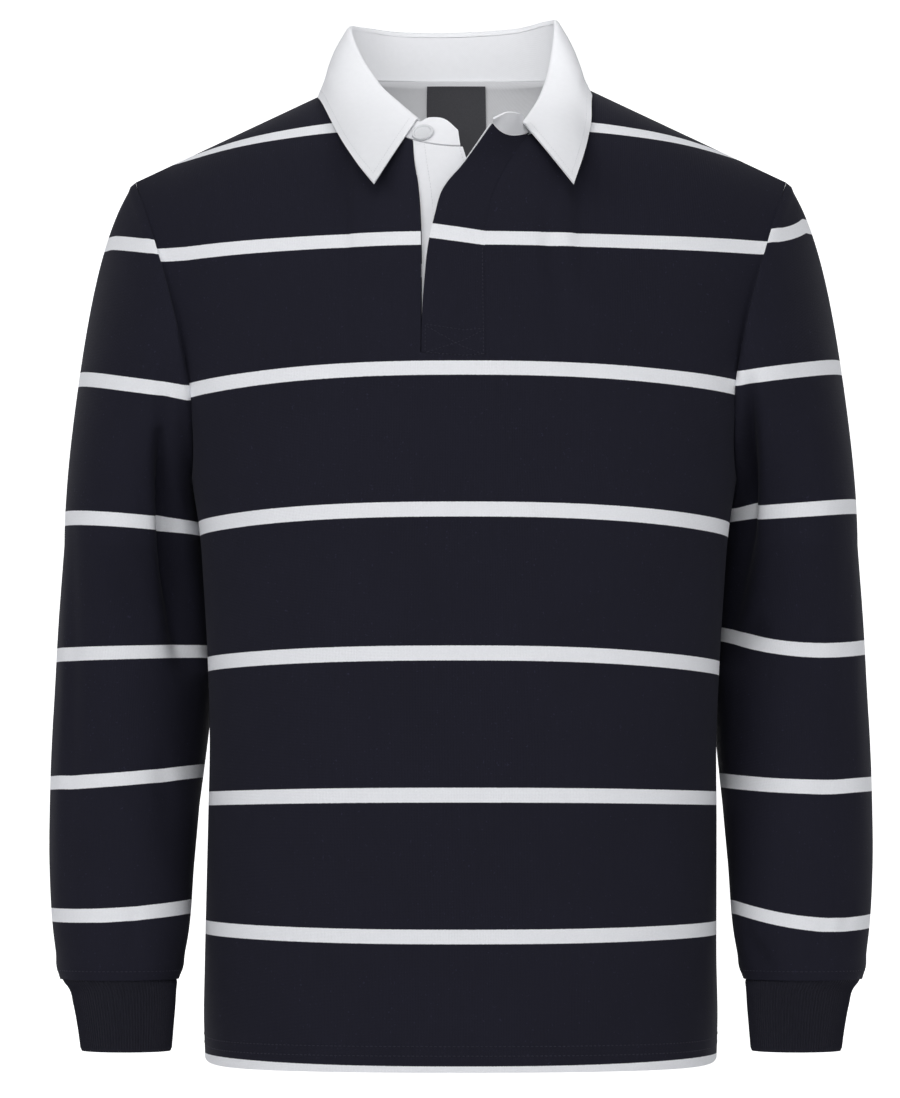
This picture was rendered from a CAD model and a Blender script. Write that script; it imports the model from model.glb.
import math

import bmesh
import bpy
import numpy as np
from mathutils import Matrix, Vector


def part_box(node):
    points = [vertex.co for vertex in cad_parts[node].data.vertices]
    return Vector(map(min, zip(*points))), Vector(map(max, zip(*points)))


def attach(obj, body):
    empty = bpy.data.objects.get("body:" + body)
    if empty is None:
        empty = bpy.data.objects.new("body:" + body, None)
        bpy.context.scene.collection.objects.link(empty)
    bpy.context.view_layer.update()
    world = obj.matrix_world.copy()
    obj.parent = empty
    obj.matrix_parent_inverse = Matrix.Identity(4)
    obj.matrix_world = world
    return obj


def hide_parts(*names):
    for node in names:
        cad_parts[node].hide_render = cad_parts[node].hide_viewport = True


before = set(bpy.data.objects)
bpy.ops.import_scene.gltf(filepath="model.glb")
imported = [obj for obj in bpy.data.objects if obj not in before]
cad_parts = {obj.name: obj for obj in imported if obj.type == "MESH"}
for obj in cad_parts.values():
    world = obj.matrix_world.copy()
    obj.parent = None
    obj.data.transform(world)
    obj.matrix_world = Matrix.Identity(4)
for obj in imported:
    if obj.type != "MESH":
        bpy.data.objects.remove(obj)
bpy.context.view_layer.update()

# --------------------------------------------------------------------------------------------------
# Front and back: two panels of heavy cotton jersey, knitted in navy with narrow white stripes, cut
# with curved armholes and joined at the shoulders and sides. The hem is turned up on a white stripe
# and held by two rows of stitches.

JERSEY = 0.0018
SEAM = 0.0004  # the gap kept between pieces that are sewn together
STRIPE_PITCH = 0.1054
STRIPE_HALF = 0.0055
NAVY = (0.0090, 0.0090, 0.0175)
STRIPE_WHITE = (0.84, 0.85, 0.88)
NECK_HALF, NECK_FRONT, NECK_BACK = 0.085, 0.088, 0.085
NECK_DROP, NECK_RISE = 0.064, 0.0105
SEAM_SET_BACK = 0.008
SHOULDER_HALF, SHOULDER_DROP = 0.252, 0.079
BOXY = 2.4
CHEST_LIFT = 0.095
BODY = (
    # level, half width, shift to +X, depth in front, depth behind
    (-0.3100, 0.2095, 0.0023, 0.1290, 0.1270),
    (-0.3490, 0.2035, 0.0023, 0.1300, 0.1290),
    (-0.4000, 0.1995, 0.0022, 0.1290, 0.1280),
    (-0.4530, 0.1963, 0.0020, 0.1280, 0.1270),
    (-0.5100, 0.1943, 0.0015, 0.1280, 0.1270),
    (-0.5700, 0.1948, 0.0010, 0.1290, 0.1280),
    (-0.6260, 0.1953, 0.0003, 0.1300, 0.1290),
    (-0.6800, 0.1958, -0.0003, 0.1310, 0.1300),
    (-0.7250, 0.1964, -0.0003, 0.1320, 0.1310),
    (-0.7570, 0.1955, -0.0002, 0.1320, 0.1310),
)
UNDERARM, HEM, CHEST_HALF = BODY[0][0], BODY[-1][0], BODY[0][1]
SHOULDER = {
    # face (-1 in front, 1 behind): where columns head as they leave the top edge, x, y, z, from the
    # middle to the armhole
    -1: (
        (0.0000, -0.1100, -0.1200),
        (0.0425, -0.1055, -0.0980),
        (0.0860, -0.0890, -0.0430),
        (0.1350, -0.0750, -0.0450),
        (0.1880, -0.0660, -0.0700),
        (0.2360, -0.0520, -0.1200),
    ),
    1: (
        (0.0000, 0.1170, -0.0400),
        (0.0425, 0.1130, -0.0380),
        (0.0860, 0.0980, -0.0300),
        (0.1350, 0.0880, -0.0450),
        (0.1880, 0.0820, -0.0700),
        (0.2400, 0.0740, -0.1200),
    ),
}
ARMHOLE = {-1: (0.192, -0.105, -0.250), 1: (0.204, 0.112, -0.250)}
BODY_STRIPES = (
    # stripe, level at the right side, in the middle, at the left side
    (1, -0.1405, -0.1356, -0.1345),
    (2, -0.2460, -0.2343, -0.2435),
    (3, -0.3500, -0.3402, -0.3505),
    (4, -0.4540, -0.4471, -0.4575),
    (5, -0.5560, -0.5524, -0.5555),
    (6, -0.6520, -0.6572, -0.6527),
    (7, -0.7530, -0.7575, -0.7530),
)
HEM_RISES_FROM, HEM_RISE = -0.700, 0.0075  # the hem lifts a little towards the side seams
HEM_STITCH_LEVELS = (-0.7377, -0.7447)
OPENING = (
    # step down, slash edge, under-placket edge, flap edge, flap seam, flap stands out, under-placket in
    (0.0, -0.0368, 0.0010, 0.0218, 0.0520, 0.0110, 0.0000),
    (0.1, -0.0357, 0.0060, 0.0015, 0.0370, 0.0085, 0.0012),
    (0.2, -0.0330, 0.0090, -0.0135, 0.0250, 0.0060, 0.0026),
    (0.3, -0.0315, 0.0110, -0.0202, 0.0185, 0.0042, 0.0038),
    (0.4, -0.0310, 0.0120, -0.0255, 0.0166, 0.0030, 0.0040),
    (0.5, -0.0312, 0.0130, -0.0285, 0.0165, 0.0020, 0.0040),
    (0.6, -0.0316, 0.0135, -0.0308, 0.0165, 0.0010, 0.0040),
    (0.7, -0.0323, 0.0140, -0.0317, 0.0165, 0.0000, 0.0040),
)
OPENING_FOOT = OPENING[-1][0]
FRONT_CREASES = (
    # from x, z, to x, z, half width, depth
    (0.062, -0.110, 0.078, -0.200, 0.0080, 0.0032),
    (0.078, -0.115, 0.098, -0.205, 0.0100, -0.0012),
    (-0.070, -0.125, -0.082, -0.185, 0.0090, 0.0012),
    (-0.186, -0.255, -0.120, -0.205, 0.0150, 0.0018),
    (0.186, -0.260, 0.125, -0.215, 0.0150, 0.0020),
    (-0.180, -0.330, -0.135, -0.430, 0.0200, 0.0016),
    (0.182, -0.340, 0.150, -0.450, 0.0200, 0.0016),
    (-0.140, -0.560, -0.110, -0.700, 0.0240, 0.0014),
    (0.120, -0.520, 0.150, -0.690, 0.0240, 0.0014),
)
BACK_CREASES = (
    # from x, z, to x, z, half width, depth
    (-0.190, -0.200, -0.120, -0.260, 0.0140, 0.0024),
    (0.190, -0.210, 0.115, -0.275, 0.0150, 0.0026),
    (-0.150, -0.330, -0.090, -0.560, 0.0240, 0.0026),
    (0.145, -0.350, 0.085, -0.540, 0.0220, 0.0024),
    (0.020, -0.160, 0.005, -0.330, 0.0260, 0.0018),
    (-0.050, -0.520, -0.075, -0.700, 0.0220, 0.0018),
    (0.100, -0.590, 0.120, -0.730, 0.0200, 0.0018),
)


def smooth(rows, key):
    """The columns of a table at the keys asked for, on smooth curves through its rows."""
    table = np.array(sorted(rows), float)
    keys, values = table[:, 0], table[:, 1:]
    slopes = np.gradient(values, keys, axis=0)
    key = np.clip(np.asarray(key, float), keys[0], keys[-1])
    low = np.clip(np.searchsorted(keys, key, side="right") - 1, 0, len(keys) - 2)
    step = (keys[low + 1] - keys[low])[..., None]
    part = (key - keys[low])[..., None] / step
    found = values[low] * (2 * part**3 - 3 * part**2 + 1)
    found += slopes[low] * step * (part**3 - 2 * part**2 + part)
    found += values[low + 1] * (3 * part**2 - 2 * part**3)
    found += slopes[low + 1] * step * (part**3 - part**2)
    return np.moveaxis(found, -1, 0)


def in_order(rows):
    """Rows of a table, each numbered by its place."""
    return [(place, *row) for place, row in enumerate(rows)]


def bezier(first, second, third, last, part):
    """Points part of the way along a curve that four points steer."""
    part = np.asarray(part)[..., None]
    left = 1 - part
    return first * left**3 + 3 * second * left**2 * part + 3 * third * left * part**2 + last * part**3


def body_ring(level, turn, face):
    """The body's section. turn runs from -1 to 1, side seam to side seam."""
    level, turn = np.broadcast_arrays(level, turn)
    half, shift, front, behind = smooth(BODY, level)
    angle = turn * math.pi / 2
    across = half * np.sign(angle) * np.abs(np.sin(angle)) ** (2 / BOXY)
    away = (front if face < 0 else behind) * np.maximum(np.cos(angle), 0) ** (2 / BOXY)
    return np.stack((shift + across, face * (away + SEAM / 2), level), -1)


def turn_at(across):
    """The turn round the section at which it lies this far across."""
    share = np.minimum(np.abs(across) / CHEST_HALF, 1)
    return np.sign(across) * np.arcsin(share ** (BOXY / 2)) * 2 / math.pi


def neckline(degrees):
    """Degrees round the neck from the middle of the back, positive to the wearer's left."""
    turned = np.radians(degrees)
    behind = np.cos(turned)
    reach = np.where(behind > 0, NECK_BACK - SEAM_SET_BACK, NECK_FRONT + SEAM_SET_BACK)
    rise = np.where(behind > 0, NECK_RISE, NECK_DROP)
    return np.stack((NECK_HALF * np.sin(turned), SEAM_SET_BACK + reach * behind, rise * behind), -1)


def panel_point(turn, step, face):
    """A point of a panel above the armpits. step is 0 at its top edge and 1 at armpit level."""
    turn, step = np.broadcast_arrays(turn, step)
    out = CHEST_HALF * np.abs(np.sin(turn * math.pi / 2)) ** (2 / BOXY)
    round_neck = np.degrees(np.arcsin(np.minimum(out / NECK_HALF, 1)))
    at_neck = neckline(round_neck if face > 0 else 180 - round_neck)
    share = np.maximum(out - NECK_HALF, 0) / (CHEST_HALF - NECK_HALF)
    along = NECK_HALF + share * (SHOULDER_HALF - NECK_HALF)
    at_shoulder = np.stack((along, np.full(along.shape, SEAM_SET_BACK), -SHOULDER_DROP * share), -1)
    side = np.stack((np.where(turn < 0, -1.0, 1.0), np.ones(turn.shape), np.ones(turn.shape)), -1)
    top = np.where((out > NECK_HALF)[..., None], at_shoulder, at_neck) * side + (0, face * SEAM / 2, 0)
    place = np.abs(np.sin(turn * math.pi / 2)) ** (2 / BOXY) * (len(SHOULDER[face]) - 1)
    second = np.moveaxis(smooth(in_order(SHOULDER[face]), place), 0, -1) * side
    low = body_ring(UNDERARM, turn, face)
    third = low + (0, 0, CHEST_LIFT)
    third = third + (ARMHOLE[face] * side - third) * np.abs(turn)[..., None] ** 4
    return bezier(top, second, third, low, step)


def outwards(grid, tube=False):
    """Normals of a grid whose rows run down and whose columns run anticlockwise as seen from above."""
    across = np.roll(grid, -1, 1) - np.roll(grid, 1, 1) if tube else np.gradient(grid, axis=1)
    normals = np.cross(np.gradient(grid, axis=0), across)
    return normals / np.maximum(np.linalg.norm(normals, axis=-1, keepdims=True), 1e-9)


def crease(grid, normals, creases):
    """Presses soft troughs into cloth, or raises ridges, each along a line in x and z."""
    moved = grid.copy()
    for x1, z1, x2, z2, half, depth in creases:
        along = np.array((x2 - x1, z2 - z1))
        place = ((grid[..., 0] - x1) * along[0] + (grid[..., 2] - z1) * along[1]) / (along @ along)
        part = np.clip(place, 0, 1)
        off = np.hypot(grid[..., 0] - x1 - part * along[0], grid[..., 2] - z1 - part * along[1])
        width = half * (0.6 + 0.9 * part)
        fade = np.sin(np.pi * np.clip((place + 0.25) / 1.5, 0, 1)) ** 2
        moved -= normals * (depth * fade * np.exp(-((off / width) ** 2)))[..., None]
    return moved


def length_down(grid):
    """How far each point is down the cloth from its first row."""
    steps = np.linalg.norm(np.diff(grid, axis=0), axis=-1)
    return np.concatenate((np.zeros((1, grid.shape[1])), np.cumsum(steps, axis=0)))


def courses_between(levels, height):
    """How many stripes down each point is, from the levels of the stripes where it lies."""
    courses = np.zeros(height.shape)
    for number, (high, low) in enumerate(zip(levels, levels[1:]), 1):
        found = number + (high - height) / (high - low)
        courses = np.where((height <= high) | (number == 1), found, courses)
    return courses


def stripe_courses(grid):
    """How far a panel's points are down the knitting, above the first stripe by the cloth's length."""
    across = np.clip(np.abs(grid[..., 0]) / CHEST_HALF, 0, 1) ** 2.5
    levels = [
        middle + (np.where(grid[..., 0] < 0, right, left) - middle) * across
        for _, right, middle, left in BODY_STRIPES
    ]
    courses, lengths = courses_between(levels, grid[..., 2]), length_down(grid)
    for column in range(grid.shape[1]):
        first = np.interp(1, courses[:, column], lengths[:, column])
        above = lengths[:, column] < first
        courses[above, column] = 1 - (first - lengths[above, column]) / STRIPE_PITCH
    return courses


def cut_cloth(name, grid, thick, finish, courses=None, left_out=None, tube=False, turn_in=True):
    """A flat grid laid on its shape, its seam closed if it is a tube, then given its thickness."""
    if courses is None:
        courses = np.zeros(grid.shape[:2])
    if tube:
        grid = np.concatenate((grid, grid[:, :1]), axis=1)
        courses = np.concatenate((courses, courses[:, :1]), axis=1)
    rows, columns = grid.shape[:2]
    bpy.ops.object.select_all(action="DESELECT")
    bpy.ops.mesh.primitive_grid_add(x_subdivisions=columns - 1, y_subdivisions=rows - 1, size=1)
    piece = bpy.context.object
    piece.name = piece.data.name = name
    mesh = piece.data
    flat = np.empty(len(mesh.vertices) * 3)
    mesh.vertices.foreach_get("co", flat)
    flat = flat.reshape(-1, 3)
    column = np.rint((flat[:, 0] + 0.5) * (columns - 1)).astype(int)
    row = np.rint((0.5 - flat[:, 1]) * (rows - 1)).astype(int)
    mesh.vertices.foreach_set("co", grid[row, column].ravel())
    corner = np.empty(len(mesh.loops), int)
    mesh.loops.foreach_get("vertex_index", corner)
    widths = np.zeros(grid.shape[:2])
    widths[:, 1:] = np.cumsum(np.linalg.norm(np.diff(grid, axis=1), axis=-1).mean(axis=0))[None]
    laid = np.stack((widths, courses), -1)[row, column][corner]
    mesh.uv_layers.active.data.foreach_set("uv", laid.ravel())
    shape = bmesh.new()
    shape.from_mesh(mesh)
    if left_out is not None:
        shape.verts.ensure_lookup_table()
        gone = []
        for face in shape.faces:
            corners = [vertex.index for vertex in face.verts]
            if left_out[row[corners].min(), column[corners].min()]:
                gone.append(face)
        bmesh.ops.delete(shape, geom=gone, context="FACES")
    if tube:
        rim = [v for v in shape.verts if v.is_boundary]
        bmesh.ops.remove_doubles(shape, verts=rim, dist=1e-5)
    shape.to_mesh(mesh)
    shape.free()
    mesh.update()
    wall = piece.modifiers.new("thickness", "SOLIDIFY")
    wall.thickness = thick
    wall.offset = -1 if turn_in else 1
    bpy.ops.object.modifier_apply(modifier=wall.name)
    bpy.ops.object.shade_smooth_by_angle(angle=math.radians(55))
    mesh.materials.clear()
    mesh.materials.append(finish)
    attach(piece, "root")
    return piece


class Shade:
    """A value in a material's nodes. Sums and products of values add the nodes that work them out."""

    def __init__(self, tree, socket=None):
        self.tree, self.socket = tree, socket

    def node(self, kind, settings=(), output=0, **values):
        """Any node. Its sockets are named, or numbered as n0, n1 and so on."""
        made = self.tree.nodes.new("ShaderNode" + kind)
        for name, value in dict(settings).items():
            setattr(made, name, value)
        for name, value in values.items():
            numbered = name[0] == "n" and name[1:].isdigit()
            found = made.inputs[int(name[1:]) if numbered else name.replace("_", " ")]
            if isinstance(value, Shade):
                self.tree.links.new(value.socket, found)
            else:
                found.default_value = value
        return Shade(self.tree, made.outputs[output])

    def maths(self, operation, *values):
        numbered = {f"n{place}": value for place, value in enumerate(values)}
        return self.node("Math", {"operation": operation}, **numbered)

    def __add__(self, other):
        return self.maths("ADD", self, other)

    def __sub__(self, other):
        return self.maths("SUBTRACT", self, other)

    def __rsub__(self, other):
        return self.maths("SUBTRACT", other, self)

    def __mul__(self, other):
        return self.maths("MULTIPLY", self, other)

    def __truediv__(self, other):
        return self.maths("DIVIDE", self, other)

    __radd__, __rmul__ = __add__, __mul__

    def held(self):
        """Kept between 0 and 1."""
        return self.node("Clamp", Value=self)

    def mixed(self, first, second):
        """From the first colour to the second as the value goes from 0 to 1."""
        return self.node("Mix", {"data_type": "RGBA"}, output=2, n0=self, n6=first, n7=second)

    def toned(self, colour, tone):
        """A colour made lighter or darker by a tone."""
        settings = {"data_type": "RGBA", "blend_type": "MULTIPLY"}
        return self.node("Mix", settings, output=2, n0=1.0, n6=(*colour, 1), n7=tone)


def new_finish(name, roughness, sheen=0.0):
    """A material with nothing laid on it yet, its shader, and the tree to add nodes to."""
    made = bpy.data.materials.new(name)
    made.use_nodes = True
    shader = made.node_tree.nodes["Principled BSDF"]
    shader.inputs["Roughness"].default_value = roughness
    shader.inputs["Specular IOR Level"].default_value = 0.2
    shader.inputs["Sheen Weight"].default_value = sheen
    shader.inputs["Sheen Roughness"].default_value = 0.45
    shader.inputs["Sheen Tint"].default_value = (0.62, 0.64, 0.72, 1)
    return made, shader, Shade(made.node_tree)


def lay_on(shade, shader, colour, height, strength, distance):
    """A finish's colour, and small relief that catches the light."""
    shade.tree.links.new(colour.socket, shader.inputs["Base Color"])
    bump = shade.node("Bump", Height=height, Strength=strength, Distance=distance)
    shade.tree.links.new(bump.socket, shader.inputs["Normal"])


LOOP_WIDE, LOOP_HIGH = 0.00125, 0.0011


def jersey_finish(name, dye, stripe):
    """Fine columns of loops, a slightly mottled dye, and stripes whose edges follow the loops."""
    made, shader, shade = new_finish(name, 0.88, 0.03)
    laid = shade.node("UVMap")
    apart = shade.node("SeparateXYZ", Vector=laid)
    across, down = apart, Shade(shade.tree, apart.socket.node.outputs[1])  # metres, stripes
    spot = shade.node("TexCoord", output=3)
    mottle = shade.node("TexNoise", Vector=spot, Scale=900.0, Detail=2.0)
    patchy = shade.node("TexNoise", Vector=spot, Scale=16.0, Detail=2.0)
    ribs = shade.maths("SINE", across * (2 * math.pi / LOOP_WIDE))
    rows = shade.maths("SINE", down * (2 * math.pi * STRIPE_PITCH / LOOP_HIGH))
    lint = ((shade.node("TexNoise", Vector=spot, Scale=520.0, Detail=1.0) - 0.71) * 14).held()
    drawn_out = shade.node("Mapping", Vector=laid, Scale=(900.0, 3.0, 1.0))
    streaks = shade.node("TexNoise", Vector=drawn_out, Scale=1.0, Detail=2.0)
    navy = shade.toned(dye, 0.62 + 0.30 * mottle + 0.20 * patchy + 0.28 * streaks + 1.6 * lint)
    away = shade.maths("PINGPONG", down, 0.5)
    edge = STRIPE_HALF / STRIPE_PITCH
    white = ((edge - away + 0.004 * (mottle - 0.5)) / 0.0035 + 0.5).held()
    colour = white.mixed(navy, shade.toned(stripe, 0.93 + 0.13 * mottle))
    lay_on(shade, shader, colour, 0.5 * ribs + 0.3 * rows + 0.9 * mottle, 0.35, 0.0003)
    return made


jersey = jersey_finish("navy striped jersey", NAVY, STRIPE_WHITE)

SLOT_ROWS, SLOT_COLUMNS = 63, 13  # of the front's grid, down and across the opening
BELOW_SLOT_ROWS, BODY_ROWS = 29, 115
TO_NECK_COLUMNS, TO_SIDE_COLUMNS = 19, 45
NECK_TURN = float(turn_at(NECK_HALF))
slot_steps = np.linspace(0, OPENING_FOOT, SLOT_ROWS + 1)
up_steps = np.concatenate((slot_steps, np.linspace(OPENING_FOOT, 1, BELOW_SLOT_ROWS + 1)[1:]))
down_levels = np.linspace(UNDERARM, HEM, BODY_ROWS + 1)[1:]


def side_turns(start):
    """Turns of the columns from a start beside the middle, by the neck, to the side seam."""
    to_neck = turn_at(start + (NECK_HALF - start) * np.linspace(0, 1, TO_NECK_COLUMNS + 1)[:-1])
    return np.concatenate((to_neck, NECK_TURN + (1 - NECK_TURN) * np.linspace(0, 1, TO_SIDE_COLUMNS + 1)))


def front_turns(step):
    """The front's columns keep to both edges of the opening, from the slash to the flap's seam."""
    slash, _, _, seam, _, _ = smooth(OPENING, step)
    between = turn_at(np.linspace(slash, seam, SLOT_COLUMNS + 1)[1:-1])
    return np.concatenate((-side_turns(-slash)[::-1], between, side_turns(seam)))


def back_turns(step):
    """The back's columns, the same at every step."""
    half = side_turns(0.0)
    return np.concatenate((-half[::-1], half[1:]))


def panel_grid(columns_at, face, creases, facing):
    """A panel's points, creased. facing is -1 where the grid's normals point into the body."""
    upper = np.stack([panel_point(columns_at(step), step, face) for step in up_steps])
    lower = np.stack([body_ring(level, columns_at(1.0), face) for level in down_levels])
    below = np.clip((HEM_RISES_FROM - down_levels) / (HEM_RISES_FROM - HEM), 0, 1)
    lower[..., 2] += HEM_RISE * below[:, None] * np.abs(columns_at(1.0))[None] ** 7
    grid = np.concatenate((upper, lower))
    return crease(grid, outwards(grid) * facing, creases)


front_grid = panel_grid(front_turns, -1, FRONT_CREASES, 1)
slot = np.zeros((front_grid.shape[0] - 1, front_grid.shape[1] - 1), bool)
slot_from = TO_NECK_COLUMNS + TO_SIDE_COLUMNS
slot[:SLOT_ROWS, slot_from : slot_from + SLOT_COLUMNS] = True
front = cut_cloth("front_panel", front_grid, JERSEY, jersey, stripe_courses(front_grid), left_out=slot)
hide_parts("front")

back_grid = panel_grid(back_turns, 1, BACK_CREASES, -1)
back_courses = stripe_courses(back_grid)[:, ::-1]
back = cut_cloth("back_panel", back_grid[:, ::-1], JERSEY, jersey, back_courses)
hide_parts("back")


def thread_finish(name, dye):
    """Spun thread: dull, with a faint change of tone along it."""
    made, shader, shade = new_finish(name, 0.7, 0.1)
    fuzz = shade.node("TexNoise", Vector=shade.node("TexCoord", output=3), Scale=1200.0, Detail=1.0)
    light = tuple(min(part * 1.35, 1.0) for part in dye)
    lay_on(shade, shader, fuzz.mixed((*dye, 1), (*light, 1)), fuzz, 0.3, 0.0001)
    return made


def laid_on(grid, normals, rows, columns):
    """Points and normals at places counted in a grid's rows and columns."""
    rows, columns = np.broadcast_arrays(np.asarray(rows, float), np.asarray(columns, float))
    r = np.clip(rows.astype(int), 0, grid.shape[0] - 2)
    c = np.clip(columns.astype(int), 0, grid.shape[1] - 2)
    a, b = (rows - r)[..., None], (columns - c)[..., None]
    return [
        (v[r, c] * (1 - b) + v[r, c + 1] * b) * (1 - a) + (v[r + 1, c] * (1 - b) + v[r + 1, c + 1] * b) * a
        for v in (grid, normals)
    ]


def sewn(name, rows, finish, long=0.0024, pitch=0.0034, wide=0.0007):
    """Rows of small stitches: one stitch, set end to end along each path and joined."""
    bpy.ops.object.select_all(action="DESELECT")
    bpy.ops.mesh.primitive_ico_sphere_add(subdivisions=1, radius=0.5)
    piece = bpy.context.object
    piece.name = piece.data.name = name
    mesh = piece.data
    stitch = np.array([vertex.co[:] for vertex in mesh.vertices])
    corners = np.array([face.vertices[:] for face in mesh.polygons])
    points, faces, count = [], [], 0
    for path, normals in rows:
        lengths = np.concatenate(([0], np.cumsum(np.linalg.norm(np.diff(path, axis=0), axis=1))))
        marks = np.arange(pitch / 2, lengths[-1], pitch)
        at, before, after, out = (
            np.stack([np.interp(marks + step, lengths, of[:, axis]) for axis in range(3)], -1)
            for of, step in ((path, 0), (path, -long / 2), (path, long / 2), (normals, 0))
        )
        ahead = after - before
        ahead /= np.linalg.norm(ahead, axis=1, keepdims=True)
        out /= np.linalg.norm(out, axis=1, keepdims=True)
        aside = np.cross(out, ahead)
        placed = (
            at[:, None]
            + ahead[:, None] * stitch[None, :, :1] * long
            + aside[:, None] * stitch[None, :, 1:2] * wide
            + out[:, None] * stitch[None, :, 2:] * wide
        )
        points.append(placed.reshape(-1, 3))
        first = (count + np.arange(len(marks)) * len(stitch))[:, None, None]
        faces.append((corners[None] + first).reshape(-1, 3))
        count += len(points[-1])
    mesh.clear_geometry()
    mesh.from_pydata(np.concatenate(points).tolist(), [], np.concatenate(faces).tolist())
    mesh.shade_smooth()
    mesh.materials.append(finish)
    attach(piece, "root")
    return piece


navy_thread = thread_finish("navy thread", (0.021, 0.021, 0.032))
hem_rows = []
for grid, facing in ((front_grid, 1), (back_grid, -1)):
    for level in HEM_STITCH_LEVELS:
        row = np.interp(-level, -grid[:, grid.shape[1] // 2, 2], np.arange(len(grid)))
        columns = np.linspace(0, grid.shape[1] - 1, 400)
        hem_rows.append(laid_on(grid, outwards(grid) * facing, row, columns))
sewn("hem_stitches", hem_rows, navy_thread)

# --------------------------------------------------------------------------------------------------
# Sleeves: long tapered tubes of the same jersey, set into the armholes with the seam turned towards
# the sleeve, which raises a narrow ridge there. They hang a little bent and fold softly at the elbow
# and beside the body.

SLEEVE = (
    # level, outer side, inner side, middle y, half depth, turn in degrees
    (-0.3600, 0.3073, 0.2035, 0.0360, 0.0720, 12.0),
    (-0.4200, 0.3134, 0.1975, 0.0500, 0.0680, 9.0),
    (-0.4750, 0.3163, 0.1975, 0.0480, 0.0630, 4.0),
    (-0.5110, 0.3176, 0.1992, 0.0400, 0.0590, 0.0),
    (-0.5600, 0.3175, 0.2020, 0.0220, 0.0550, 0.0),
    (-0.6030, 0.3161, 0.2048, 0.0040, 0.0515, 0.0),
    (-0.6650, 0.3100, 0.2092, -0.0180, 0.0465, 0.0),
    (-0.6920, 0.3050, 0.2150, -0.0250, 0.0420, 0.0),
)
SLEEVE_HEAD = (
    # share from shoulder to armpit, leaves by x, y (forwards or back), z, height above first section
    (0.0, 0.0330, 0.0000, -0.0410, 0.1100),
    (0.5, 0.0260, 0.0080, -0.0450, 0.0700),
    (0.8, 0.0200, 0.0060, -0.0200, 0.0400),
    (1.0, -0.0014, 0.0000, -0.0160, 0.0180),
)
OFF_ARMHOLE = 0.0006
TUCKED = 0.0022
RIDGE, RIDGE_AT, RIDGE_HALF = 0.0012, 0.004, 0.004
NO_FOLDS_BY_SEAM = 0.012
GATHERED, GATHERED_AT, GATHERED_HALF = 0.0014, 0.010, 0.007  # how the sleeve fills out above the cuff
CUFF_SEAM_STITCHED_AT = 0.0070
# how far each upper sleeve reaches in behind the body, and the level where that ends
BEHIND_BODY, BEHIND_ENDS = {1: 0.0022, -1: 0.0052}, -0.56
SLEEVE_SPAN = (
    # level, outer side, inner side, as seen from the front
    (-0.1000, 0.2620, 0.2440),
    (-0.1300, 0.2690, 0.2350),
    (-0.2400, 0.2985, 0.2110),
    (-0.3400, 0.3060, 0.2045),
    (-0.4200, 0.3120, 0.2000),
    (-0.5110, 0.3160, 0.2000),
    (-0.6030, 0.3150, 0.2048),
    (-0.6920, 0.3050, 0.2150),
)
SLEEVE_STRIPES = {
    # side: stripe, outer level, inner level, sag between them
    -1: (
        (1, -0.1270, -0.1346, 0.0000),
        (2, -0.2311, -0.2477, 0.0010),
        (3, -0.3396, -0.3473, 0.0000),
        (4, -0.4446, -0.4419, 0.0004),
        (5, -0.5434, -0.5338, 0.0016),
        (6, -0.6438, -0.6377, 0.0020),
        (7, -0.7400, -0.7400, 0.0000),
    ),
    1: (
        (1, -0.1135, -0.1254, 0.0020),
        (2, -0.2222, -0.2370, 0.0004),
        (3, -0.3304, -0.3369, 0.0020),
        (4, -0.4385, -0.4277, 0.0080),
        (5, -0.5442, -0.5419, 0.0030),
        (6, -0.6488, -0.6377, 0.0060),
        (7, -0.7450, -0.7400, 0.0000),
    ),
}
SLEEVE_CREASES = {
    # side: from x, z, to x, z, half width, depth
    -1: (
        (-0.2290, -0.2800, -0.2120, -0.4500, 0.0075, 0.0210),
        (-0.2270, -0.2100, -0.2240, -0.3200, 0.0080, 0.0050),
        (-0.2080, -0.4400, -0.2240, -0.3300, 0.0060, -0.0020),
        (-0.2650, -0.3720, -0.2370, -0.4400, 0.0120, 0.0026),
        (-0.2200, -0.4200, -0.2080, -0.4560, 0.0060, 0.0020),
        (-0.3060, -0.3300, -0.3080, -0.6600, 0.0055, -0.0014),
        (-0.2980, -0.3400, -0.3000, -0.6300, 0.0060, 0.0014),
        (-0.2900, -0.5500, -0.2500, -0.6200, 0.0130, 0.0022),
        (-0.2300, -0.5200, -0.2180, -0.6000, 0.0090, 0.0024),
        (-0.2550, -0.2000, -0.2450, -0.3000, 0.0160, 0.0020),
        (-0.2750, -0.6450, -0.2400, -0.6780, 0.0080, 0.0022),
        (-0.2450, -0.6300, -0.2500, -0.6850, 0.0060, 0.0016),
    ),
    1: (
        (0.2200, -0.2400, 0.2110, -0.4000, 0.0085, 0.0170),
        (0.2100, -0.3600, 0.2040, -0.4550, 0.0080, 0.0050),
        (0.2080, -0.4340, 0.2340, -0.4250, 0.0070, 0.0040),
        (0.2300, -0.2600, 0.2240, -0.4100, 0.0080, -0.0018),
        (0.2160, -0.6550, 0.2320, -0.6880, 0.0060, 0.0034),
        (0.2500, -0.4700, 0.2820, -0.4100, 0.0130, 0.0018),
        (0.2950, -0.5200, 0.2650, -0.5900, 0.0140, 0.0020),
        (0.3020, -0.3000, 0.3070, -0.6200, 0.0060, -0.0010),
        (0.2620, -0.2100, 0.2500, -0.3100, 0.0170, 0.0020),
        (0.2800, -0.6400, 0.2580, -0.6820, 0.0080, 0.0022),
        (0.2950, -0.6300, 0.2860, -0.6800, 0.0070, 0.0018),
    ),
}
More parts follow.
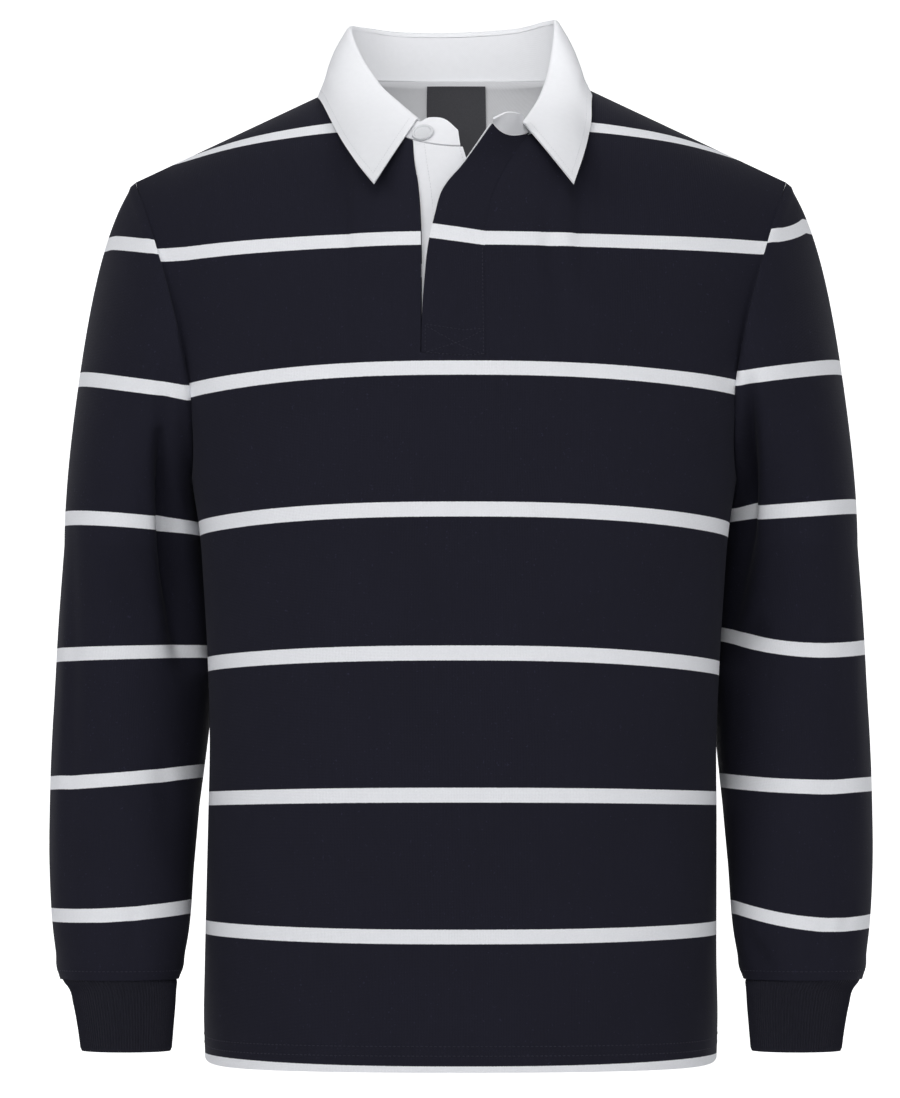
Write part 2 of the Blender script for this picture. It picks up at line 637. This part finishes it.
FOLDS_BEHIND = (
    # on the back of either sleeve, with the left one's x: from x, z, to x, z, half width, depth
    (0.2450, -0.3600, 0.2900, -0.3900, 0.0120, 0.0040),
    (0.2300, -0.4050, 0.2800, -0.4280, 0.0110, 0.0036),
    (0.2450, -0.4600, 0.2950, -0.4450, 0.0120, 0.0030),
    (0.2600, -0.5600, 0.2450, -0.6500, 0.0140, 0.0024),
)


def section(row, share, face, side):
    """A sleeve's section, from its outer side at share 0 to its inner side at 1, front or back."""
    level, outer, inner, middle, deep, degrees = row
    half, turned = (outer - inner) / 2, np.radians(degrees)
    wide = np.sqrt(half**2 - (deep * np.sin(turned)) ** 2) / np.cos(turned)
    along, away = wide * np.cos(math.pi * share), face * deep * np.sin(math.pi * share)
    x = (outer + inner) / 2 + along * np.cos(turned) - away * np.sin(turned)
    y = middle + along * np.sin(turned) + away * np.cos(turned)
    return np.stack((side * x, y, np.broadcast_to(level, np.shape(x))), -1)


def sleeve_grid(side, count=56, head_rows=34, rows=112):
    """Columns run anticlockwise from above: down the front half from one side, back up the other."""
    share = np.linspace(0, 1, count + 1)
    down = np.concatenate((share, share[-2:0:-1]))
    face = np.concatenate((np.full(count + 1, -1.0), np.full(count - 1, 1.0)))
    leave = smooth(SLEEVE_HEAD, down)
    edge, inside = np.empty((len(down), 3)), np.empty((len(down), 3))
    for half in (-1, 1):
        here = face == half
        edge[here] = panel_point(side * 1.0, down[here], half)
        inside[here] = panel_point(side * 0.985, down[here], half)
    for end in (0, count):
        edge[end, 1] += SEAM / 2
    across = edge - inside
    across /= np.linalg.norm(across, axis=-1, keepdims=True)
    across += (np.array((side, 0.0, 0.0)) - across) * down[:, None] ** 5
    start = edge + across * OFF_ARMHOLE
    away = face * np.minimum(3 * down, 1) * (1 - down**3)
    faces_out = np.stack((side * down**3, away, np.maximum(1 - 3 * down, 0)), -1)
    under = edge - across * OFF_ARMHOLE - faces_out * TUCKED
    body = []
    for level in np.linspace(SLEEVE[0][0], SLEEVE[-1][0], rows + 1):
        outer, inner, middle, deep, turned = smooth(SLEEVE, level)
        inner -= BEHIND_BODY[side] * min(max((level - BEHIND_ENDS) / 0.1, 0), 1)
        body.append(section((level, outer, inner, middle, deep, turned), down, face, side))
    body = np.array(body)
    second = start + np.stack((side * leave[0], face * leave[1], leave[2]), -1)
    third = body[0] + np.stack((np.zeros(len(down)), np.zeros(len(down)), leave[3]), -1)
    parts = np.linspace(0, 1, head_rows + 1)[:-1, None]
    head = bezier(start[None], second[None], third[None], body[:1], parts)
    return np.concatenate((under[None], head, body))


for side, name in ((1, "left"), (-1, "right")):
    grid = sleeve_grid(side)[:, ::-side]
    normals = outwards(grid, tube=True)
    from_seam = length_down(grid)
    from_cuff = from_seam[-1] - from_seam
    from_seam = np.maximum(from_seam - from_seam[1], 0)
    off_seam = np.clip(from_seam / NO_FOLDS_BY_SEAM, 0, 1)
    in_front = (np.clip(-normals[..., 1] * 1.8, 0, 1) * off_seam)[..., None]
    behind = (np.clip(normals[..., 1] * 2, 0, 1) * off_seam)[..., None]
    pressed = crease(grid, normals * in_front, SLEEVE_CREASES[side])
    folds = [(side * x1, z1, side * x2, z2, *size) for x1, z1, x2, z2, *size in FOLDS_BEHIND]
    pressed = crease(pressed, normals * behind, folds)
    ridge = RIDGE * np.exp(-(((from_seam - RIDGE_AT) / RIDGE_HALF) ** 2)) * (from_seam > 0)
    gathers = GATHERED * np.exp(-(((from_cuff - GATHERED_AT) / GATHERED_HALF) ** 2))
    pressed += normals * (ridge + gathers)[..., None]
    outer_side, inner_side = smooth(SLEEVE_SPAN, grid[..., 2])
    place = np.clip((np.abs(grid[..., 0]) - inner_side) / (outer_side - inner_side), 0, 1)
    levels = [
        inner + (outer - inner) * place - 4 * sag * place * (1 - place)
        for _, outer, inner, sag in SLEEVE_STRIPES[side]
    ]
    courses = courses_between(levels, grid[..., 2])
    sleeve = cut_cloth(f"sleeve_piece_{name}", pressed, JERSEY, jersey, courses, tube=True)
    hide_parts(f"sleeve_{name}")
    round_cuff = np.arange(pressed.shape[1] + 1) % pressed.shape[1]
    row_high = from_cuff[-2].mean() - from_cuff[-1].mean()
    above_cuff = len(pressed) - 1 - CUFF_SEAM_STITCHED_AT / row_high
    all_round = np.arange(len(round_cuff))
    path = laid_on(pressed[:, round_cuff], normals[:, round_cuff], above_cuff, all_round)
    sewn(f"cuff_seam_stitches_{name}", [path], navy_thread)

# --------------------------------------------------------------------------------------------------
# Cuffs: bands of ribbed knit in cotton with a little elastic, doubled over at the wrist, drawn in
# and sewn to the gathered sleeve ends.

RIB = 0.0026
RIBS, COLUMNS_PER_RIB = 104, 6
RIB_DEPTH = 0.00045
CUFF = (
    # level, outer side, inner side, middle y, half depth, turn in degrees
    (-0.6924, 0.3042, 0.2158, -0.0250, 0.0412, 0.0),
    (-0.6990, 0.2985, 0.2165, -0.0265, 0.0365, 0.0),
    (-0.7110, 0.2950, 0.2172, -0.0270, 0.0330, 0.0),
    (-0.7290, 0.2915, 0.2186, -0.0275, 0.0310, 0.0),
    (-0.7465, 0.2890, 0.2200, -0.0280, 0.0300, 0.0),
)

ribbed, shader, shade = new_finish("navy rib", 0.9, 0.05)
mottle = shade.node("TexNoise", Vector=shade.node("TexCoord", output=3), Scale=700.0, Detail=3.0)
dye = mottle.mixed((0.007, 0.007, 0.012, 1), (0.017, 0.017, 0.027, 1))
lay_on(shade, shader, dye, mottle, 0.4, 0.0003)

for side, name in ((1, "left"), (-1, "right")):
    around = np.linspace(0, 2 * math.pi, RIBS * COLUMNS_PER_RIB + 1)[:-1][::side]
    share, face = 1 - np.abs(1 - around / math.pi), np.where(around <= math.pi, 1.0, -1.0)
    levels = np.linspace(CUFF[0][0], CUFF[-1][0], 22)
    grid = np.stack([section((level, *smooth(CUFF, level)), share, face, side) for level in levels])
    normals = outwards(grid, tube=True)
    from_end = np.minimum(levels - CUFF[-1][0], CUFF[0][0] - levels)
    rounded = 0.0008 * np.exp(-((from_end / 0.0012) ** 2))
    height = RIB_DEPTH * (np.cos(RIBS * around) - 1)[None]
    height = height * np.clip(from_end / 0.002, 0.15, 1)[:, None] - rounded[:, None]
    grid += normals * height[..., None]
    cuff = cut_cloth(f"cuff_piece_{name}", grid, RIB - RIB_DEPTH, ribbed, tube=True)
    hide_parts(f"cuff_{name}")

# --------------------------------------------------------------------------------------------------
# Placket: a navy flap sewn on beside the slash, backed with a white facing that shows at its
# turned-back edge, over a white twill under-placket. Its foot is held by a box of stitches with a
# cross.

TWILL = 0.0016
FACING = 0.0012
WHITE = (0.80, 0.806, 0.83)
OPENING_ROWS = 60
FLAP_CORNER_RISE = 0.0100
FLAP_SEAM_SUNK = 0.0012
FLAP_STRIPE_RISE = 0.0054
FACING_SHOWS, SHOWING_ROWS = 0.0020, 40


def twill_finish(name, dye):
    """Twill: fine slanting lines and faint slubs."""
    made, shader, shade = new_finish(name, 0.8, 0.15)
    spot = shade.node("TexCoord", output=3)
    bands = {"wave_type": "BANDS", "bands_direction": "DIAGONAL"}
    lines = shade.node("TexWave", bands, output=1, Vector=spot, Scale=420.0, Distortion=0.4, Detail=1.0)
    slubs = shade.node("TexNoise", Vector=spot, Scale=260.0, Detail=3.0)
    colour = shade.toned(dye, 0.955 + 0.03 * lines + 0.05 * slubs)
    lay_on(shade, shader, colour, 0.3 * lines + 0.8 * slubs, 0.22, 0.0002)
    return made


white_twill = twill_finish("white twill", WHITE)


def opening_cloth(edges_at, shares):
    """Points on the front's own surface between two lines beside the opening, with their normals."""
    steps = np.linspace(0, OPENING_FOOT - 0.001, OPENING_ROWS)
    first, last = edges_at(smooth(OPENING, steps))
    turns = turn_at(first[:, None] + (last - first)[:, None] * shares[None])
    grid = panel_point(turns, steps[:, None] + np.zeros_like(turns), -1)
    return grid, outwards(grid), steps


def flap_face(shares):
    """The flap's outer face, standing off towards its free edge, its top corner drawn up."""
    grid, normals, steps = opening_cloth(lambda line: (line[2], line[3] - SEAM), shares)
    loose = np.maximum(1 - shares, 0)[None]
    stands = smooth(OPENING, steps)[4][:, None]
    grid = grid + normals * (stands * loose**1.2)[..., None]
    lift = FLAP_CORNER_RISE * loose**4 * np.clip(1 - steps / 0.1, 0, 1)[:, None] ** 1.5
    grid[..., 2] += lift
    return grid, normals


flap_shares = np.concatenate((np.linspace(0, 1, 27), (1.03, 1.08)))
flap_grid, flap_normals = flap_face(flap_shares)
sunk = FLAP_SEAM_SUNK * np.clip((flap_shares - 1) / 0.05, 0, 1)
flap_laid = flap_grid - flap_normals * sunk[None, :, None]
stripe_level = BODY_STRIPES[0][2] + FLAP_STRIPE_RISE * (1 - flap_shares)
flap_courses = 1 + (stripe_level[None] - flap_grid[..., 2]) / STRIPE_PITCH
flap = cut_cloth("placket_flap", flap_laid, JERSEY, jersey, flap_courses)
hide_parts("placket_top")

behind, behind_normals = flap_face(np.linspace(0, 0.6, 16))
behind = behind - behind_normals * (JERSEY + SEAM)
edge_out = behind[:, 0] - behind[:, 1]
edge_out /= np.linalg.norm(edge_out, axis=-1, keepdims=True)
shows = FACING_SHOWS * np.clip(1 - np.arange(len(behind)) / SHOWING_ROWS, 0, 1)
behind[:, 0] += edge_out * shows[:, None]
backing = cut_cloth("placket_backing", behind, FACING, white_twill)
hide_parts("placket_facing")

under_shares = np.linspace(0, 1, 16)
under, under_normals, steps = opening_cloth(lambda line: (line[0] + SEAM, line[1]), under_shares)
under = under - under_normals * smooth(OPENING, steps)[5][:, None, None]
under_placket = cut_cloth("under_placket", under, TWILL, white_twill)
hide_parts("placket_under")


def flap_place(share, level):
    """The flap's row and column at a share of its width and a level."""
    column = np.interp(share, flap_shares, np.arange(len(flap_shares)))
    levels = flap_grid[:, round(float(column)), 2]
    return np.interp(-level, -levels, np.arange(len(flap_grid))), column


def flap_line(start, end):
    """A straight line on the flap."""
    (first_row, first_column), (last_row, last_column) = flap_place(*start), flap_place(*end)
    part = np.linspace(0, 1, 60)
    rows = first_row + (last_row - first_row) * part
    return laid_on(flap_grid, flap_normals, rows, first_column + (last_column - first_column) * part)


STITCH_LINES = (
    # share of the flap's width and level where each starts, and where it ends
    (0.97, -0.1430, 0.97, -0.2250),
    (0.06, -0.2015, 0.97, -0.2050),
    (0.06, -0.2015, 0.06, -0.2250),
    (0.06, -0.2250, 0.97, -0.2255),
    (0.08, -0.2030, 0.95, -0.2245),
    (0.08, -0.2245, 0.95, -0.2065),
)
UNDER_STITCHED = (3.4, 14.0)  # columns of the under-placket
placket_rows = [flap_line(line[:2], line[2:]) for line in STITCH_LINES]
sewn("placket_stitches", placket_rows, navy_thread, long=0.0022, pitch=0.0030)
white_thread = thread_finish("white thread", (0.56, 0.565, 0.59))
down_under = np.linspace(0, OPENING_ROWS - 1, 90)
under_rows = [laid_on(under, under_normals, down_under, column) for column in UNDER_STITCHED]
sewn("under_placket_stitches", under_rows, white_thread, long=0.0020, pitch=0.0026, wide=0.0005)

# --------------------------------------------------------------------------------------------------
# Collar: a band of white twill sewn round the neck, its end past the collar carrying the button and
# its other end turned out, and a leaf that turns over it and spreads to two points, stitched near its
# edge.

COLLAR = (
    # degrees round the neckline, roll line x, y, z, outer edge x, y, z
    (-155.0, -0.0325, -0.0660, -0.0395, -0.0655, -0.1110, -0.0945),
    (-142.3, -0.0475, -0.0520, -0.0250, -0.0810, -0.0930, -0.0735),
    (-126.9, -0.0625, -0.0300, -0.0080, -0.0945, -0.0600, -0.0490),
    (-105.0, -0.0780, 0.0000, 0.0190, -0.1070, -0.0160, -0.0190),
    (-85.0, -0.0865, 0.0240, 0.0440, -0.1060, 0.0320, -0.0110),
    (-58.0, -0.0770, 0.0510, 0.0490, -0.0920, 0.0760, -0.0070),
    (-32.0, -0.0480, 0.0740, 0.0490, -0.0600, 0.1110, -0.0050),
    (-1.0, -0.0030, 0.0830, 0.0500, -0.0030, 0.1240, -0.0040),
    (30.4, 0.0420, 0.0740, 0.0515, 0.0540, 0.1110, -0.0050),
    (55.4, 0.0680, 0.0510, 0.0540, 0.0840, 0.0760, -0.0070),
    (80.0, 0.0745, 0.0240, 0.0470, 0.0945, 0.0320, -0.0040),
    (105.0, 0.0690, 0.0000, 0.0090, 0.0985, -0.0180, -0.0180),
    (124.6, 0.0615, -0.0300, -0.0160, 0.0980, -0.0480, -0.0440),
    (135.1, 0.0535, -0.0540, -0.0320, 0.0935, -0.0800, -0.0660),
    (144.0, 0.0465, -0.0700, -0.0430, 0.0845, -0.1110, -0.0945),
)
BUTTONED_END = (
    # degrees round the neckline, top edge x, y, z
    (-179.5, -0.0025, -0.0790, -0.0500),
    (-172.5, -0.0125, -0.0700, -0.0405),
    (-164.0, -0.0240, -0.0650, -0.0385),
)
TURNED_END = (
    # share of the flap's top edge from its seam, top edge x, y, z
    (0.26, 0.0470, -0.0800, -0.0400),
    (0.50, 0.0430, -0.0920, -0.0395),
    (0.76, 0.0340, -0.0985, -0.0400),
    (1.00, 0.0245, -0.1005, -0.0450),
)
ROLL = (
    # out from the roll line, up from it
    (-0.0022, -0.0040),
    (-0.0018, -0.0012),
    (-0.0006, 0.0000),
    (0.0012, -0.0001),
    (0.0030, -0.0012),
)
BAND_TOP_BELOW_ROLL = 0.0024
BAND_STATIONS, BAND_COLUMNS, BAND_ROWS = 25, 220, 13
LEAF_COLUMNS, LEAF_ROWS = 169, 26
LEAF_BULGE = 0.004
LEAF_CLEAR, CLEAR_FROM_ROW = 0.0030, 12  # kept above the shoulders
LEAF_STITCHED_AT = 0.0060  # in from its edges


def collar_rows(count):
    """The collar's table, drawn out to more rows on smooth curves."""
    return np.moveaxis(smooth(in_order(COLLAR), np.linspace(0, len(COLLAR) - 1, count)), 0, -1)


stations = collar_rows(BAND_STATIONS)
low = [neckline(row[0]) + (0, -SEAM / 2, SEAM) for row in BUTTONED_END]
low += [neckline(row[0]) for row in stations]
high = [np.array(row[1:]) for row in BUTTONED_END]
high += [row[1:4] - (0, 0, BAND_TOP_BELOW_ROLL) for row in stations]
for share, *top in TURNED_END:
    low.append([np.interp(1 - share, flap_shares, flap_grid[0, :, axis]) for axis in range(3)])
    high.append(np.array(top))
low, high = np.array(low) + (0, 0, 2 * SEAM), np.array(high)
places = np.linspace(0, len(low) - 1, BAND_COLUMNS)
low = np.moveaxis(smooth(in_order(low), places), 0, -1)
high = np.moveaxis(smooth(in_order(high), places), 0, -1)
band_grid = low[None] + (high - low)[None] * np.linspace(1, 0, BAND_ROWS)[:, None, None]
band_normals = outwards(band_grid)
if np.sum(band_normals * (band_grid - band_grid.mean(axis=(0, 1)))) < 0:
    band_grid, band_normals = band_grid[:, ::-1], -band_normals[:, ::-1]
band = cut_cloth("collar_band", band_grid, TWILL, white_twill)
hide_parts("collar_stand")

stations = collar_rows(LEAF_COLUMNS)
roll, edge = stations[:, 1:4], stations[:, 4:7]
out = (edge - roll) * (1, 1, 0)
out /= np.linalg.norm(out, axis=-1, keepdims=True)
up = np.array((0, 0, 1.0))
leaf = [roll + out * away + up * rise for away, rise in ROLL]
inside_ends = (1 - np.abs(np.linspace(-1, 1, len(edge))) ** 8)[:, None]
for share in np.linspace(0, 1, LEAF_ROWS + 1)[1:]:
    bulge = LEAF_BULGE * math.sin(math.pi * share) * inside_ends
    leaf.append(leaf[4] + (edge - leaf[4]) * share + (out + up) * bulge)
leaf = np.array(leaf)
leaf_normals = outwards(leaf)
if np.sum(leaf_normals[-2] * (leaf[-2] - leaf[0])) < 0:
    leaf, leaf_normals = leaf[:, ::-1], -leaf_normals[:, ::-1]
lift = np.zeros(leaf.shape[:2])
for row in range(CLEAR_FROM_ROW, len(leaf)):
    for column in range(leaf.shape[1]):
        spot = Vector(leaf[row, column])
        for panel in (front, back):
            found, at, facing, _ = panel.closest_point_on_mesh(spot, distance=0.02)
            if found and facing.dot(Vector(leaf_normals[row, column])) > 0.3:
                short = TWILL + LEAF_CLEAR - (spot - at).dot(facing)
                lift[row, column] = max(lift[row, column], short)
for _ in range(10):
    padded = np.pad(lift, 1, mode="edge")
    beside = (padded[:-2, 1:-1] + padded[2:, 1:-1] + padded[1:-1, :-2] + padded[1:-1, 2:]) / 4
    lift = np.maximum(lift * 0.5 + beside * 0.5, beside)
leaf += leaf_normals * lift[..., None]
turned_down = cut_cloth("collar_leaf", leaf, TWILL, white_twill)
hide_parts("collar_fall")

edge_row = len(leaf) - 1 - LEAF_STITCHED_AT / np.linalg.norm(leaf[-1] - leaf[-2], axis=-1)
outer_row = laid_on(leaf, leaf_normals, edge_row, np.arange(leaf.shape[1]))
leaf_rows = [[part[2:-2] for part in outer_row]]
for end in (1, -1):
    seen, seen_normals = leaf[:, ::end], leaf_normals[:, ::end]
    along = np.cumsum(np.linalg.norm(np.diff(seen[:, :16], axis=1), axis=-1), axis=1)
    columns = np.array([np.interp(LEAF_STITCHED_AT, row, np.arange(1, 16)) for row in along])[5:-2]
    leaf_rows.append(laid_on(seen, seen_normals, np.arange(5, len(leaf) - 2), columns))
sewn("collar_stitches", leaf_rows, white_thread, long=0.0020, pitch=0.0026, wide=0.0005)

# --------------------------------------------------------------------------------------------------
# Inside the back neck: a half-moon of white twill sewn flat to the back, and on it a plain black woven
# label, its top edge caught under the band.

MOON_HALF, MOON_DEEP = 0.0700, 0.34  # across in metres, down as a share of the way to the armpits
MOON_OFF, MOON_UNDER_BAND = 0.0012, 0.0026
LABEL, LABEL_OFF = 0.0008, 0.0014
LABEL_FROM, LABEL_TO = -0.0282, 0.0206
LABEL_TOP, LABEL_FOOT = 0.004, 0.245  # shares of the way down
BLACK, BLACK_WORN = (0.056, 0.056, 0.062, 1), (0.098, 0.098, 0.108, 1)


def inside_back(turns, steps, off):
    """Points inside the back panel, this far in from its outer face."""
    grid = panel_point(turns[None] + np.zeros_like(steps), steps, 1)
    inwards = outwards(grid)
    inwards = np.where(inwards[..., 1:2] > 0, -inwards, inwards)
    return grid + inwards * off


across = np.linspace(-1, 1, 61)
deep = MOON_DEEP * np.maximum(1 - across**2, 0.05) ** 0.5
steps = np.linspace(0, 1, 24)[:, None] * deep[None]
moon = inside_back(turn_at(MOON_HALF * across), steps, JERSEY + 2 * SEAM + MOON_OFF)
moon[0, :, 2] += MOON_UNDER_BAND
half_moon = cut_cloth("neck_half_moon", moon, FACING, white_twill, turn_in=False)
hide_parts("neck_facing")

label_finish, shader, shade = new_finish("black label", 0.65)
weave = shade.node("TexNoise", Vector=shade.node("TexCoord", output=3), Scale=1500.0, Detail=2.0)
lay_on(shade, shader, weave.mixed(BLACK, BLACK_WORN), weave, 0.3, 0.0002)
label_turns = turn_at(np.linspace(LABEL_FROM, LABEL_TO, 20))
steps = np.linspace(LABEL_TOP, LABEL_FOOT, 30)[:, None] + np.zeros((1, 20))
label_grid = inside_back(label_turns, steps, JERSEY + FACING + 4 * SEAM + LABEL_OFF)
label = cut_cloth("neck_label_plain", label_grid, LABEL, label_finish, turn_in=False)
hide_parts("neck_label")

# --------------------------------------------------------------------------------------------------
# Button: moulded white rubber with a raised rim, sewn to the band's end above the under-placket and
# left undone.

BUTTON_RADIUS, BUTTON_THICK, BUTTON_RIM, BUTTON_DISH = 0.0084, 0.0022, 0.0016, 0.0012

rubber, shader, shade = new_finish("white rubber", 0.42)
specks = shade.node("TexNoise", Vector=shade.node("TexCoord", output=3), Scale=900.0, Detail=2.0)
colour = specks.mixed((0.62, 0.63, 0.65, 1), (0.70, 0.71, 0.73, 1))
lay_on(shade, shader, colour, specks, 0.1, 0.0001)
low_corner, high_corner = (np.array(corner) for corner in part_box("button"))
button_at = (low_corner + high_corner) / 2
from_button = np.linalg.norm(band_grid - button_at, axis=-1)
nearest = np.unravel_index(np.argmin(from_button), from_button.shape)
faces_to = Vector(band_normals[nearest])
bpy.ops.object.select_all(action="DESELECT")
bpy.ops.mesh.primitive_cylinder_add(vertices=48, radius=BUTTON_RADIUS, depth=BUTTON_THICK)
button = bpy.context.object
button.name = button.data.name = "rubber_button"
shape = bmesh.new()
shape.from_mesh(button.data)
top = max(shape.faces, key=lambda face: face.calc_center_median().z)
bmesh.ops.inset_region(shape, faces=[top], thickness=BUTTON_RIM)
bmesh.ops.inset_region(shape, faces=[top], thickness=0.0007, depth=-BUTTON_DISH)
shape.to_mesh(button.data)
shape.free()
edges = button.modifiers.new("soft edges", "BEVEL")
edges.width, edges.segments, edges.limit_method = 0.0004, 3, "ANGLE"
bpy.ops.object.modifier_apply(modifier=edges.name)
button.rotation_mode = "QUATERNION"
button.rotation_quaternion = Vector((0, 0, 1)).rotation_difference(faces_to)
button.location = button_at
bpy.ops.object.transform_apply(location=True, rotation=True, scale=True)
bpy.ops.object.shade_smooth_by_angle(angle=math.radians(40))
button.data.materials.append(rubber)
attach(button, "root")
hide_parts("button")

# --------------------------------------------------------------------------------------------------
# Studio: a pale floor, a white backdrop, a large soft light on each side and one above, a small one
# into the neck, and the camera in front, at the height of the forearms and tilted up a little.

white_paper, shader, shade = new_finish("white paper", 0.9)
shader.inputs["Base Color"].default_value = (0.9, 0.9, 0.9, 1)
shader.inputs["Emission Color"].default_value = (1, 1, 1, 1)
shader.inputs["Emission Strength"].default_value = 0.78
floor_paint, shader, shade = new_finish("pale floor", 0.9)
shader.inputs["Base Color"].default_value = (0.86, 0.86, 0.87, 1)
FLOOR = -1.45
for name, at, size, turned, paint in (
    ("floor", (0, -2, FLOOR), 16, (0, 0, 0), floor_paint),
    ("backdrop", (0, 4.0, FLOOR + 4), 16, (math.radians(90), 0, 0), white_paper),
):
    bpy.ops.object.select_all(action="DESELECT")
    bpy.ops.mesh.primitive_plane_add(size=size, location=at, rotation=turned)
    surface = bpy.context.object
    surface.name = name
    surface.data.materials.append(paint)

for name, at, aim, size, power, spread in (
    ("key", (-2.2, -2.6, 1.2), (0, 0, -0.35), 2.0, 42, 180),
    ("fill", (2.6, -2.4, 0.6), (0, 0, -0.35), 2.4, 27, 180),
    ("over the camera", (-0.2, -2.9, 1.5), (0, 0, -0.35), 1.4, 34, 180),
    ("into the neck", (0, -0.12, 0.12), (0, 0.080, -0.03), 0.10, 0.068, 120),
):
    light = bpy.data.lights.new(name, "AREA")
    light.size, light.energy, light.spread = size, power, math.radians(spread)
    lamp = bpy.data.objects.new(name, light)
    lamp.location = at
    lamp.rotation_euler = (Vector(aim) - Vector(at)).to_track_quat("-Z", "Y").to_euler()
    bpy.context.scene.collection.objects.link(lamp)

world = bpy.data.worlds.new("studio")
world.use_nodes = True
background = world.node_tree.nodes["Background"]
background.inputs["Color"].default_value = (0.95, 0.96, 1.0, 1)
background.inputs["Strength"].default_value = 0.16
bpy.context.scene.world = world
bpy.context.scene.view_settings.view_transform = "Standard"

lens = bpy.data.cameras.new("camera")
lens.lens, lens.sensor_width = 153.5, 36
camera = bpy.data.objects.new("camera", lens)
camera.location = (-0.0085, -3.6, -0.5415)
camera.rotation_euler = (math.radians(92.83), 0, 0)
bpy.context.scene.collection.objects.link(camera)
bpy.context.scene.camera = camera
